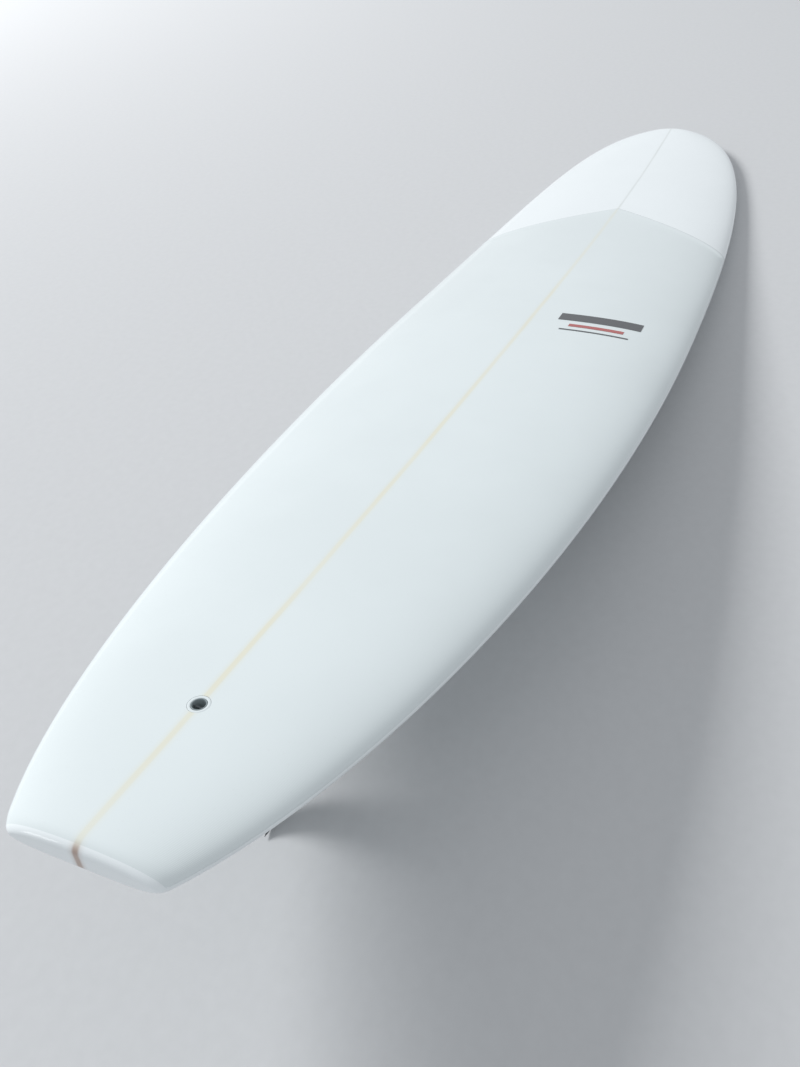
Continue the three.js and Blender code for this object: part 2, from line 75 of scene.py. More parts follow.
# %% [markdown]
# ## Sizes of the board
#
# The visible skin has to follow the same curves as the engineering model, so the same few sizes
# drive it: an outline made of two curves a side, a rocker, a thickness curve and a rounded section.
# All of them are in millimetres in the board's own frame, with the tail at x = 0, the nose ahead and
# the left rail at +y. One matrix then lays the finished mesh down where the frame has the board.

# %% Name the board's sizes
BOARD_LENGTH = 2743.0
BOARD_WIDTH = 600.0
BOARD_THICKNESS = 81.0
TAIL_BLOCK_WIDTH = 175.0
TAIL_CORNER_RADIUS = 8.0
TAIL_FLARE = math.radians(35)
TAIL_HANDLE = 214.0
WIDE_POINT = 1358.0
HIP_HANDLE = 640.0
SHOULDER_HANDLE = 862.0
NOSE_HANDLE = 248.0
NOSE_CAP_HALF_WIDTH = 12.0
NOSE_ROCKER, NOSE_ROCKER_POWER = 125.0, 2.5
TAIL_ROCKER, TAIL_ROCKER_POWER = 70.0, 2.2
FLAT_POINT = 1289.0
TAIL_THICKNESS, NOSE_THICKNESS = 35.0, 22.0
THICK_POINT, FOIL_POWER = 1322.0, 2.2
APEX_SHARE = 0.42
BELLY_POWER, DECK_POWER = 4.5, 2.3
TAIL_EDGE_RADIUS, TAIL_END_SHARE = 14.0, 0.45
NOSE_EDGE_RADIUS, NOSE_END_SHARE = 18.0, 0.35

# how the frame lays the board on the floor: pitched nose down, with this place for its tail
REST_PITCH = math.radians(6.24407)
TAIL_PLACE = Vector((-1375.15321, 0.0, 200.69391))
BOARD_TO_FRAME = (
    Matrix.Scale(MM, 4) @ Matrix.Translation(TAIL_PLACE) @ Matrix.Rotation(REST_PITCH, 4, "Y")
)
nose_tip = BOARD_TO_FRAME @ Vector((BOARD_LENGTH, 0, 125))
print("nose tip lands at", [round(value, 3) for value in nose_tip])

# %% [markdown]
# ## The board's curves
#
# Shapers draw a board with a few fair curves, and so does this cell. Each function gives one of them
# at a distance from the tail: half the width, the height of the belly, the thickness, and how much
# of the section is left where the two ends are rounded over. A subdivided box could be pulled into
# shape by eye, but functions keep every layer exactly parallel to the next.

# %% Describe outline, rocker and foil
HIP = [
    (0.0, TAIL_BLOCK_WIDTH / 2),
    (TAIL_HANDLE * math.cos(TAIL_FLARE), TAIL_BLOCK_WIDTH / 2 + TAIL_HANDLE * math.sin(TAIL_FLARE)),
    (WIDE_POINT - HIP_HANDLE, BOARD_WIDTH / 2),
    (WIDE_POINT, BOARD_WIDTH / 2),
]
SHOULDER = [
    (WIDE_POINT, BOARD_WIDTH / 2),
    (WIDE_POINT + SHOULDER_HANDLE, BOARD_WIDTH / 2),
    (BOARD_LENGTH, NOSE_HANDLE),
    (BOARD_LENGTH, 0.0),
]


def curve_point(handles, share):
    """A point on a cubic curve with four handles."""
    left = 1 - share
    weights = (left**3, 3 * left**2 * share, 3 * left * share**2, share**3)
    return tuple(sum(w * h[axis] for w, h in zip(weights, handles)) for axis in (0, 1))


def half_width_at(x):
    """Half the outline's width at x, with the tail corner rounded and the nose cap kept."""
    handles = HIP if x < WIDE_POINT else SHOULDER
    low, high = 0.0, 1.0
    for _ in range(40):
        middle = (low + high) / 2
        if curve_point(handles, middle)[0] < x:
            low = middle
        else:
            high = middle
    half_width = max(curve_point(handles, high)[1], NOSE_CAP_HALF_WIDTH)
    if x < TAIL_CORNER_RADIUS:
        share = (TAIL_CORNER_RADIUS - x) / TAIL_CORNER_RADIUS
        half_width -= TAIL_CORNER_RADIUS * (1 - math.sqrt(1 - share * share))
    return half_width


def belly_height(x):
    if x > FLAT_POINT:
        return NOSE_ROCKER * ((x - FLAT_POINT) / (BOARD_LENGTH - FLAT_POINT)) ** NOSE_ROCKER_POWER
    return TAIL_ROCKER * ((FLAT_POINT - x) / FLAT_POINT) ** TAIL_ROCKER_POWER


def thickness_at(x):
    behind = x < THICK_POINT
    span = THICK_POINT if behind else BOARD_LENGTH - THICK_POINT
    end = TAIL_THICKNESS if behind else NOSE_THICKNESS
    share = min(abs(x - THICK_POINT) / span, 1.0)
    return end + (BOARD_THICKNESS - end) * (1 - share**FOIL_POWER)


def deck_height(x):
    return belly_height(x) + thickness_at(x)


def end_share(x):
    """How much of the section's height is left near the rounded tail and nose."""
    if x < TAIL_EDGE_RADIUS:
        rise = math.sqrt(max(1 - ((TAIL_EDGE_RADIUS - x) / TAIL_EDGE_RADIUS) ** 2, 0))
        return TAIL_END_SHARE + (1 - TAIL_END_SHARE) * rise
    into_nose = x - (BOARD_LENGTH - NOSE_EDGE_RADIUS)
    if into_nose <= 0:
        return 1.0
    fall = math.sqrt(max(1 - (into_nose / NOSE_EDGE_RADIUS) ** 2, 0))
    return NOSE_END_SHARE + (1 - NOSE_END_SHARE) * fall


def surface_point(x, half_width, turn, lift=0.0):
    """A point on the board's surface. turn runs round the section: 0 is the middle of the belly, a
    quarter turn is the left rail and half a turn is the middle of the deck."""
    on_deck = math.cos(turn) < 0
    across = math.sin(turn)
    share = min(abs(across), 1.0)
    height_share = 1 - APEX_SHARE if on_deck else APEX_SHARE
    height = height_share * thickness_at(x) * end_share(x) + lift
    power = DECK_POWER if on_deck else BELLY_POWER
    rise = height * math.sqrt(max(1 - share**power, 0))
    apex = belly_height(x) + APEX_SHARE * thickness_at(x)
    stretched = x - lift + 2 * lift * x / BOARD_LENGTH
    side = math.copysign(half_width + lift, across)
    return Vector((stretched, side * share, apex + rise if on_deck else apex - rise))


widths = {x: round(2 * half_width_at(x)) for x in (305, WIDE_POINT, BOARD_LENGTH - 305)}
print("widths in mm, by distance from the tail:", widths)

# %% [markdown]
# ## Helpers for making a piece
#
# Every piece is modelled as a bmesh in millimetres and then moved to its place in one go, so that
# its object can stay at the origin. Finishing a piece always takes the same steps, so one helper
# does them: it writes the mesh, shades it smooth except across sharp edges, gives it a material and
# lets it ride on a body of the frame.

# %% Finish a piece
SHARP_ANGLE = math.radians(38)


def finish_piece(bm, name, material, body, replaces=(), to_frame=BOARD_TO_FRAME):
    """Turns a bmesh into a named piece that rides on a body and stands for some CAD nodes."""
    bmesh.ops.transform(bm, matrix=to_frame, verts=bm.verts)
    mesh = bpy.data.meshes.new(name)
    bm.to_mesh(mesh)
    bm.free()
    mesh.shade_smooth()
    mesh.set_sharp_from_angle(angle=SHARP_ANGLE)
    mesh.materials.append(material)
    piece = bpy.data.objects.new(name, mesh)
    bpy.context.scene.collection.objects.link(piece)
    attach(piece, body)
    if replaces:
        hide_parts(*replaces)
    triangles = sum(len(face.vertices) - 2 for face in mesh.polygons)
    print(f"{name}: {triangles} triangles, {[round(1000 * side, 1) for side in piece.dimensions]} mm")
    return piece


def faces_of(geometry):
    return [part for part in geometry if isinstance(part, bmesh.types.BMFace)]


def edges_of(geometry):
    return [part for part in geometry if isinstance(part, bmesh.types.BMEdge)]


def verts_of(geometry):
    return [part for part in geometry if isinstance(part, bmesh.types.BMVert)]


# %% [markdown]
# Two shapes come back many times. A loft starts as one circle, which is extruded from station to
# station, and each new ring is laid on its section. A hole is cut with a fan of planes: each plane
# splits only the faces that are still inside, so the rest of the surface keeps its even grid.

# %% Loft a shape and cut an opening
def loft(bm, stations, steps, place):
    """Extrudes a ring through the stations. place(station, turn) says where each of its points goes."""
    turn_layer = bm.verts.layers.float.new("turn")
    ring = bmesh.ops.create_circle(bm, segments=steps, radius=1)["verts"]
    for vert in ring:
        vert[turn_layer] = math.atan2(vert.co.x, -vert.co.y)
        vert.co = place(stations[0], vert[turn_layer])
    first = open_edges = list(bm.edges)
    for station in stations[1:]:
        grown = bmesh.ops.extrude_edge_only(bm, edges=open_edges)["geom"]
        open_edges = [edge for edge in edges_of(grown) if edge.is_boundary]
        for vert in verts_of(grown):
            vert.co = place(station, vert[turn_layer])
    for rim in (first, open_edges):
        bmesh.ops.holes_fill(bm, edges=rim, sides=0)
    bmesh.ops.recalc_face_normals(bm, faces=bm.faces)


def cut_opening(bm, faces, middle, outline, across, along):
    """Cuts a hole of that outline, a list of (u, v) going round, in the faces near it."""
    inside = list(faces)
    count = len(outline)
    for index in range(count):
        start = middle + across * outline[index][0] + along * outline[index][1]
        stop_uv = outline[(index + 1) % count]
        stop = middle + across * stop_uv[0] + along * stop_uv[1]
        outward = (stop - start).cross(across.cross(along)).normalized()
        parts = {vert for face in inside for vert in face.verts}
        parts |= {edge for face in inside for edge in face.edges}
        cut = bmesh.ops.bisect_plane(
            bm, geom=list(parts) + inside, dist=1e-5, plane_co=start, plane_no=outward
        )
        inside = [
            face
            for face in faces_of(cut["geom"])
            if (face.calc_center_median() - start).dot(outward) < 0
        ]
    bmesh.ops.delete(bm, geom=inside, context="FACES")


def round_outline(radius, steps=40):
    return [
        (radius * math.cos(math.tau * step / steps), radius * math.sin(math.tau * step / steps))
        for step in range(steps)
    ]


def slot_outline(length, width, radius, steps=6):
    """A long shape with rounded corners, going round anticlockwise."""
    x, y = length / 2 - radius, width / 2 - radius
    outline = []
    for quarter, (cx, cy) in enumerate([(x, y), (-x, y), (-x, -y), (x, -y)]):
        for step in range(steps + 1):
            angle = math.pi / 2 * (quarter + step / steps)
            outline.append((cx + radius * math.cos(angle), cy + radius * math.sin(angle)))
    return outline


print("helpers ready")

# %% [markdown]
# ## Places of the plug and the fin box
#
# The leash plug stands square to the deck and the fin box square to the belly. A matrix for each
# lets their pieces be modelled upright at the origin and then laid in the board, which is far easier
# than modelling them tilted.

# %% Find the two places
PLUG_FROM_TAIL = 191.0
PATCH_TOP = 0.9
BOX_LENGTH, BOX_WIDTH, BOX_CORNER = 276.0, 24.0, 6.0
BOX_FROM_TAIL = 236.0
BOX_MIDDLE = BOX_FROM_TAIL + BOX_LENGTH / 2
BOX_POTTING = 3.0
TOUCH_GAP = 0.3


def surface_place(height, x, lift):
    """A frame on the deck or the belly at x, with its own z square to the surface."""
    tilt = math.atan2(height(x + 1) - height(x - 1), 2)
    spot = Vector((x - lift * math.sin(tilt), 0, height(x) + lift * math.cos(tilt)))
    return Matrix.Translation(spot) @ Matrix.Rotation(-tilt, 4, "Y")


PLUG_PLACE = surface_place(deck_height, PLUG_FROM_TAIL, PATCH_TOP)
BOX_PLACE = surface_place(belly_height, BOX_MIDDLE, 0)
print("plug at", [round(value, 1) for value in PLUG_PLACE.translation], "mm")
print("fin box at", [round(value, 1) for value in BOX_PLACE.translation], "mm")

# %% [markdown]
# ## Shared effects: cloth weave and fine wear
#
# Glass cloth is a plain weave, and a trace of it shows through the resin. The same weave belongs in
# the skin, the patches and the fin, so it is a node group with its own inputs and outputs. Two wave
# textures at right angles make the threads. A picture of cloth would need unwrapped surfaces, and
# would blur where the board is seen from close by.

# %% Build the weave group
def new_group(name, inputs, outputs):
    """An empty shader group with named sockets. inputs maps a name to a (socket type, default)."""
    group = bpy.data.node_groups.new(name, "ShaderNodeTree")
    for socket, (kind, default) in inputs.items():
        made = group.interface.new_socket(name=socket, in_out="INPUT", socket_type=kind)
        if default is not None:
            made.default_value = default
    for socket, kind in outputs.items():
        group.interface.new_socket(name=socket, in_out="OUTPUT", socket_type=kind)
    start = group.nodes.new("NodeGroupInput")
    end = group.nodes.new("NodeGroupOutput")
    return group, start, end


def add(tree, kind, settings=None, links=None):
    """Adds a node, sets its properties and default inputs, and links what feeds it."""
    node = tree.nodes.new(kind)
    for key, value in (settings or {}).items():
        if isinstance(key, str) and hasattr(node, key) and not key[0].isupper():
            setattr(node, key, value)
        else:
            node.inputs[key].default_value = value
    for key, source in (links or {}).items():
        tree.links.new(source, node.inputs[key])
    return node


def calc(tree, operation, first, second=None, third=None, clamp=False):
    """One step of arithmetic on sockets or plain numbers."""
    node = tree.nodes.new("ShaderNodeMath")
    node.operation = operation
    node.use_clamp = clamp
    for index, value in enumerate((first, second, third)):
        if value is None:
            continue
        if isinstance(value, (int, float)):
            node.inputs[index].default_value = value
        else:
            tree.links.new(value, node.inputs[index])
    return node.outputs[0]


def smooth_step(tree, value, start, stop, low=0.0, high=1.0):
    """Goes smoothly from low to high while value goes from start to stop."""
    node = add(
        tree,
        "ShaderNodeMapRange",
        {"interpolation_type": "SMOOTHSTEP", "From Min": start, "From Max": stop,
         "To Min": low, "To Max": high},
        {"Value": value},
    )
    return node.outputs["Result"]


FLOAT, COLOUR, VECTOR = "NodeSocketFloat", "NodeSocketColor", "NodeSocketVector"

weave, weave_in, weave_out = new_group(
    "cloth_weave",
    {"Vector": (VECTOR, None), "Thread Scale": (FLOAT, 240.0), "Strength": (FLOAT, 1.0)},
    {"Height": FLOAT, "Threads": FLOAT},
)
warp = add(weave, "ShaderNodeTexWave",
           {"bands_direction": "X", "Distortion": 0.6, "Detail": 1.0},
           {"Vector": weave_in.outputs["Vector"], "Scale": weave_in.outputs["Thread Scale"]})
weft = add(weave, "ShaderNodeTexWave",
           {"bands_direction": "Y", "Distortion": 0.6, "Detail": 1.0},
           {"Vector": weave_in.outputs["Vector"], "Scale": weave_in.outputs["Thread Scale"]})
crossing = calc(weave, "MULTIPLY", warp.outputs["Fac"], weft.outputs["Fac"])
uneven = add(weave, "ShaderNodeTexNoise", {"Scale": 35.0, "Detail": 3.0},
             {"Vector": weave_in.outputs["Vector"]})
patchy = calc(weave, "MULTIPLY", crossing, uneven.outputs["Fac"])
weave.links.new(calc(weave, "MULTIPLY", patchy, weave_in.outputs["Strength"]), weave_out.inputs["Height"])
weave.links.new(crossing, weave_out.inputs["Threads"])
print("group", weave.name, "with", len(weave.nodes), "nodes")

# %% [markdown]
# Handled things carry hairline scratches and a little dust. The wear group gives one mask for each:
# noise that is stretched along one way for the scratches, and small specks. Each finish then decides
# how much of it to let through.

# %% Build the wear group
wear, wear_in, wear_out = new_group(
    "fine_wear",
    {"Vector": (VECTOR, None), "Scratch Scale": (FLOAT, 60.0), "Speck Scale": (FLOAT, 220.0)},
    {"Scratches": FLOAT, "Specks": FLOAT, "Haze": FLOAT},
)
stretched = add(wear, "ShaderNodeMapping", {"Scale": (1.0, 14.0, 14.0)},
                {"Vector": wear_in.outputs["Vector"]})
lines = add(wear, "ShaderNodeTexNoise", {"Detail": 4.0, "Roughness": 0.7, "Distortion": 0.3},
            {"Vector": stretched.outputs["Vector"], "Scale": wear_in.outputs["Scratch Scale"]})
specks = add(wear, "ShaderNodeTexVoronoi", {"feature": "F1"},
             {"Vector": wear_in.outputs["Vector"], "Scale": wear_in.outputs["Speck Scale"]})
haze = add(wear, "ShaderNodeTexNoise", {"Scale": 3.2, "Detail": 5.0, "Roughness": 0.55},
           {"Vector": wear_in.outputs["Vector"]})
wear.links.new(smooth_step(wear, lines.outputs["Fac"], 0.60, 0.78), wear_out.inputs["Scratches"])
wear.links.new(smooth_step(wear, specks.outputs["Distance"], 0.16, 0.04), wear_out.inputs["Specks"])
wear.links.new(haze.outputs["Fac"], wear_out.inputs["Haze"])
print("group", wear.name, "with", len(wear.nodes), "nodes")

# %% [markdown]
# ## The glassed skin's finish
#
# White foam shines through clear resin, so the board is a cool, very pale grey with a hard polished
# gloss on top. The stringer lies under the cloth and shows as a soft cream line, a little stronger
# towards the tail, where the end of the wood shows brown. Because the line lies exactly in the
# board's middle, it can be drawn from the object's own y, with a little noise to make it wander.

# %% Build the finish of foam seen through glass
def new_material(name):
    """A material with a Principled shader, and its Object coordinates."""
    material = bpy.data.materials.new(name)
    material.use_nodes = True
    tree = material.node_tree
    shader = tree.nodes["Principled BSDF"]
    place = tree.nodes.new("ShaderNodeTexCoord").outputs["Object"]
    return material, tree, shader, place


def mix_colour(tree, share, first, second):
    """Mixes two colours, each a socket or a plain (r, g, b)."""
    node = tree.nodes.new("ShaderNodeMix")
    node.data_type = "RGBA"
    if isinstance(share, float):
        node.inputs["Factor"].default_value = share
    else:
        tree.links.new(share, node.inputs["Factor"])
    for name, value in (("A", first), ("B", second)):
        socket = next(s for s in node.inputs if s.name == name and s.type == "RGBA")
        if isinstance(value, tuple):
            socket.default_value = (*value, 1.0)
        else:
            tree.links.new(value, socket)
    return next(s for s in node.outputs if s.type == "RGBA")


def place_group(tree, group, vector, **values):
    """Puts a shared group in a material with its own values."""
    node = tree.nodes.new("ShaderNodeGroup")
    node.node_tree = group
    tree.links.new(vector, node.inputs["Vector"])
    for key, value in values.items():
        node.inputs[key.replace("_", " ")].default_value = value
    return node.outputs


def bump(tree, height, distance, strength=1.0):
    node = add(tree, "ShaderNodeBump", {"Strength": strength, "Distance": distance}, {"Height": height})
    return node.outputs["Normal"]


stringer, stringer_in, stringer_out = new_group(
    "stringer_under_glass",
    {"Vector": (VECTOR, None), "Glass": (COLOUR, (0.8, 0.85, 0.87, 1.0))},
    {"Colour": COLOUR, "Wood": FLOAT},
)
spot = stringer_in.outputs["Vector"]
split = add(stringer, "ShaderNodeSeparateXYZ", links={"Vector": spot})
wander = add(stringer, "ShaderNodeTexNoise", {"Scale": 9.0, "Detail": 3.0},
             {"Vector": spot})
shift = calc(stringer, "MULTIPLY", calc(stringer, "SUBTRACT", wander.outputs["Fac"], 0.5), 0.0022)
off_middle = calc(stringer, "ABSOLUTE", calc(stringer, "ADD", split.outputs["Y"], shift))
slimmer = smooth_step(stringer, split.outputs["X"], 0.60, 0.70, 1.0, 1.7)
off_middle = calc(stringer, "MULTIPLY", off_middle, slimmer)
core_line = smooth_step(stringer, off_middle, 0.0052, 0.0016)
soft_line = smooth_step(stringer, off_middle, 0.0110, 0.0010)
fading = smooth_step(stringer, split.outputs["X"], -0.10, 0.45, 1.0, 0.45)
cloudy = add(stringer, "ShaderNodeTexNoise", {"Scale": 5.0, "Detail": 2.0},
             {"Vector": spot})
along_fade = calc(stringer, "MULTIPLY", fading,
                  smooth_step(stringer, cloudy.outputs["Fac"], 0.30, 0.70, 0.70, 1.10))
grain_way = add(stringer, "ShaderNodeMapping", {"Scale": (6.0, 900.0, 40.0)},
                {"Vector": spot})
grain = add(stringer, "ShaderNodeTexNoise", {"Scale": 1.0, "Detail": 4.0, "Roughness": 0.6},
            {"Vector": grain_way.outputs["Vector"]})
wood_tone = mix_colour(stringer, grain.outputs["Fac"], (0.78, 0.765, 0.625), (0.71, 0.70, 0.575))
under_bare_cloth = smooth_step(stringer, split.outputs["X"], 0.64, 0.70)
wood_tone = mix_colour(stringer, under_bare_cloth, wood_tone, (0.50, 0.53, 0.50))
tail_end = smooth_step(stringer, split.outputs["X"], -1.353, -1.364)
wood_tone = mix_colour(stringer, tail_end, wood_tone, (0.42, 0.30, 0.24))
mask = calc(stringer, "ADD", calc(stringer, "MULTIPLY", core_line, 0.50),
            calc(stringer, "MULTIPLY", soft_line, 0.34), clamp=True)
mask = calc(stringer, "MULTIPLY", mask, along_fade)
mask = calc(stringer, "MULTIPLY", mask, calc(stringer, "MULTIPLY_ADD", tail_end, 0.35, 1.0), clamp=True)
stringer.links.new(mix_colour(stringer, mask, stringer_in.outputs["Glass"], wood_tone),
                   stringer_out.inputs["Colour"])
stringer.links.new(mask, stringer_out.inputs["Wood"])


def glassed_material(name, tone, shade):
    """White foam under clear resin. shade is how much darker its cloudy places are."""
    material, tree, shader, place = new_material(name)
    cloth = place_group(tree, weave, place, Thread_Scale=230.0)
    worn = place_group(tree, wear, place, Scratch_Scale=24.0, Speck_Scale=90.0)
    clouds = smooth_step(tree, worn["Haze"], 0.35, 0.70)
    glass = mix_colour(tree, clouds, tone, tuple(part * shade for part in tone))
    glass = mix_colour(tree, calc(tree, "MULTIPLY", cloth["Threads"], 0.10), glass,
                       tuple(part * 0.93 for part in tone))
    line = tree.nodes.new("ShaderNodeGroup")
    line.node_tree = stringer
    tree.links.new(place, line.inputs["Vector"])
    tree.links.new(glass, line.inputs["Glass"])
    colour = mix_colour(tree, calc(tree, "MULTIPLY", worn["Specks"], 0.10),
                        line.outputs["Colour"], (0.62, 0.63, 0.62))
    tree.links.new(colour, shader.inputs["Base Color"])
    rough = calc(tree, "MULTIPLY_ADD", worn["Haze"], 0.18, 0.42)
    rough = calc(tree, "MULTIPLY_ADD", worn["Scratches"], 0.08, rough)
    tree.links.new(rough, shader.inputs["Roughness"])
    ripple = calc(tree, "MULTIPLY_ADD", worn["Haze"], 1.2, cloth["Height"])
    tree.links.new(bump(tree, ripple, 0.00012, 0.5), shader.inputs["Normal"])
    shader.inputs["IOR"].default_value = 1.5
    shader.inputs["Specular IOR Level"].default_value = 0.15
    shader.inputs["Coat Weight"].default_value = 1.0
    shader.inputs["Coat Roughness"].default_value = 0.05
    shader.inputs["Coat IOR"].default_value = 1.5
    return material


# The skin is lighter than the patch partly for the patch's real extra cloth, and partly as painted light:
# its tone is lifted to brighten the nose beyond what the key panel gives it.
SKIN_TONE_WITH_PAINTED_NOSE_LIGHT = (0.855, 0.905, 0.920)
PATCH_TONE = (0.740, 0.803, 0.812)
skin_finish = glassed_material("glassed_foam", SKIN_TONE_WITH_PAINTED_NOSE_LIGHT, 0.975)
patch_finish = glassed_material("glassed_foam_with_patch", PATCH_TONE, 0.965)
print("materials:", skin_finish.name, "and", patch_finish.name)

# %% [markdown]
# ## Finishes of the small parts
#
# The fin is dark glass laminate with the cloth just visible in its gloss. Plug and box are moulded
# plastic with a fine spark-eroded grain. Potting resin is milky and holds small bubbles. Brass and
# steel get brushed scratches, and the hidden core gets its foam cells and wood grain, so that every
# part holds up when it is seen on its own.

# %% Build the laminate, plastic and resin finishes
def fin_material():
    material, tree, shader, place = new_material("fin_laminate_dark")
    cloth = place_group(tree, weave, place, Thread_Scale=150.0)
    worn = place_group(tree, wear, place, Scratch_Scale=40.0, Speck_Scale=160.0)
    colour = mix_colour(tree, cloth["Threads"], (0.010, 0.012, 0.014), (0.035, 0.040, 0.044))
    colour = mix_colour(tree, calc(tree, "MULTIPLY", worn["Scratches"], 0.25), colour, (0.12, 0.12, 0.12))
    tree.links.new(colour, shader.inputs["Base Color"])
    tree.links.new(calc(tree, "MULTIPLY_ADD", worn["Haze"], 0.25, 0.20), shader.inputs["Roughness"])
    tree.links.new(bump(tree, cloth["Height"], 0.00015, 0.6), shader.inputs["Normal"])
    shader.inputs["Coat Weight"].default_value = 0.8
    shader.inputs["Coat Roughness"].default_value = 0.08
    return material


def moulded_plastic(name, tone, worn_tone, roughness):
    material, tree, shader, place = new_material(name)
    worn = place_group(tree, wear, place, Scratch_Scale=110.0, Speck_Scale=700.0)
    texture = add(tree, "ShaderNodeTexNoise", {"Scale": 1400.0, "Detail": 3.0}, {"Vector": place})
    colour = mix_colour(tree, calc(tree, "MULTIPLY", worn["Haze"], 0.35), tone,
                        tuple(part * 0.82 for part in tone))
    colour = mix_colour(tree, calc(tree, "MULTIPLY", worn["Scratches"], 0.35), colour, worn_tone)
    tree.links.new(colour, shader.inputs["Base Color"])
    rough = calc(tree, "MULTIPLY_ADD", texture.outputs["Fac"], 0.18, roughness)
    tree.links.new(rough, shader.inputs["Roughness"])
    height = calc(tree, "ADD", texture.outputs["Fac"], calc(tree, "MULTIPLY", worn["Specks"], 0.4))
    tree.links.new(bump(tree, height, 0.00006, 0.5), shader.inputs["Normal"])
    return material


def resin_material():
    material, tree, shader, place = new_material("potting_resin")
    bubbles = add(tree, "ShaderNodeTexVoronoi", {"feature": "F1", "Scale": 520.0}, {"Vector": place})
    bubble = smooth_step(tree, bubbles.outputs["Distance"], 0.22, 0.08)
    milk = add(tree, "ShaderNodeTexNoise", {"Scale": 90.0, "Detail": 4.0}, {"Vector": place})
    colour = mix_colour(tree, milk.outputs["Fac"], (0.755, 0.815, 0.825), (0.70, 0.76, 0.775))
    colour = mix_colour(tree, calc(tree, "MULTIPLY", bubble, 0.5), colour, (0.83, 0.87, 0.88))
    tree.links.new(colour, shader.inputs["Base Color"])
    tree.links.new(calc(tree, "MULTIPLY_ADD", milk.outputs["Fac"], 0.15, 0.12), shader.inputs["Roughness"])
    tree.links.new(bump(tree, bubble, 0.0001, 0.4), shader.inputs["Normal"])
    shader.inputs["Coat Weight"].default_value = 0.6
    shader.inputs["Coat Roughness"].default_value = 0.06
    return material


fin_finish = fin_material()
plug_finish = moulded_plastic("plug_plastic_grey", (0.265, 0.310, 0.322), (0.34, 0.375, 0.385), 0.48)
box_finish = moulded_plastic("box_plastic_white", (0.74, 0.77, 0.78), (0.60, 0.60, 0.58), 0.34)
resin_finish = resin_material()
print("materials:", [m.name for m in (fin_finish, plug_finish, box_finish, resin_finish)])


# %% Build the metal, wood, foam and ink finishes
def brushed_metal(name, tone, dark_tone, roughness):
    material, tree, shader, place = new_material(name)
    worn = place_group(tree, wear, place, Scratch_Scale=420.0, Speck_Scale=900.0)
    colour = mix_colour(tree, worn["Scratches"], tone, dark_tone)
    tree.links.new(colour, shader.inputs["Base Color"])
    tree.links.new(calc(tree, "MULTIPLY_ADD", worn["Scratches"], 0.22, roughness),
                   shader.inputs["Roughness"])
    tree.links.new(bump(tree, worn["Scratches"], 0.00003, 0.5), shader.inputs["Normal"])
    shader.inputs["Metallic"].default_value = 1.0
    return material


def wood_material():
    material, tree, shader, place = new_material("stringer_basswood")
    way = add(tree, "ShaderNodeMapping", {"Scale": (5.0, 420.0, 90.0)}, {"Vector": place})
    rings = add(tree, "ShaderNodeTexNoise", {"Scale": 1.0, "Detail": 6.0, "Distortion": 0.5},
                {"Vector": way.outputs["Vector"]})
    colour = mix_colour(tree, rings.outputs["Fac"], (0.70, 0.55, 0.33), (0.50, 0.36, 0.19))
    tree.links.new(colour, shader.inputs["Base Color"])
    tree.links.new(calc(tree, "MULTIPLY_ADD", rings.outputs["Fac"], 0.2, 0.5), shader.inputs["Roughness"])
    tree.links.new(bump(tree, rings.outputs["Fac"], 0.0003, 0.6), shader.inputs["Normal"])
    return material


def foam_material():
    material, tree, shader, place = new_material("core_foam")
    cells = add(tree, "ShaderNodeTexVoronoi", {"feature": "F1", "Scale": 1300.0}, {"Vector": place})
    soft = add(tree, "ShaderNodeTexNoise", {"Scale": 12.0, "Detail": 4.0}, {"Vector": place})
    colour = mix_colour(tree, soft.outputs["Fac"], (0.90, 0.89, 0.84), (0.84, 0.82, 0.75))
    colour = mix_colour(tree, calc(tree, "MULTIPLY", cells.outputs["Distance"], 0.3), colour,
                        (0.66, 0.64, 0.58))
    tree.links.new(colour, shader.inputs["Base Color"])
    tree.links.new(calc(tree, "MULTIPLY_ADD", cells.outputs["Distance"], 0.2, 0.75),
                   shader.inputs["Roughness"])
    tree.links.new(bump(tree, cells.outputs["Distance"], 0.0004, 0.8), shader.inputs["Normal"])
    return material


def ink_material(name, tone, thin_tone):
    """Ink on rice paper under the gloss coat: slightly uneven, with tiny gaps in the print."""
    material, tree, shader, place = new_material(name)
    worn = place_group(tree, wear, place, Scratch_Scale=60.0, Speck_Scale=650.0)
    paper = add(tree, "ShaderNodeTexNoise", {"Scale": 260.0, "Detail": 5.0, "Roughness": 0.65},
                {"Vector": place})
    gaps = smooth_step(tree, paper.outputs["Fac"], 0.60, 0.74)
    colour = mix_colour(tree, calc(tree, "MULTIPLY", gaps, 0.45), tone, thin_tone)
    colour = mix_colour(tree, calc(tree, "MULTIPLY", worn["Specks"], 0.25), colour, thin_tone)
    tree.links.new(colour, shader.inputs["Base Color"])
    tree.links.new(calc(tree, "MULTIPLY_ADD", paper.outputs["Fac"], 0.2, 0.25), shader.inputs["Roughness"])
    tree.links.new(bump(tree, paper.outputs["Fac"], 0.00004, 0.4), shader.inputs["Normal"])
    shader.inputs["Coat Weight"].default_value = 1.0
    shader.inputs["Coat Roughness"].default_value = 0.05
    return material


brass_finish = brushed_metal("brass_brushed", (0.72, 0.53, 0.25), (0.42, 0.30, 0.13), 0.26)
steel_finish = brushed_metal("steel_brushed", (0.62, 0.63, 0.64), (0.36, 0.37, 0.38), 0.24)
bar_finish = brushed_metal("steel_dulled", (0.20, 0.22, 0.23), (0.11, 0.12, 0.13), 0.62)
wood_finish = wood_material()
foam_finish = foam_material()
dark_ink = ink_material("print_dark", (0.030, 0.034, 0.040), (0.22, 0.23, 0.24))
red_ink = ink_material("print_red", (0.42, 0.060, 0.050), (0.62, 0.30, 0.27))
print("materials so far:", len(bpy.data.materials))

# %% [markdown]
# ## The glassed skin
#
# On the real board one sheet of cloth covers the belly and one the deck, lapped over each other at
# the rails and sanded until the joint can't be felt. So the skin is a single closed shell here: a
# loft of sections from the tail to the nose. It is opened where the leash plug and the fin box are
# let in, and then given a wall.

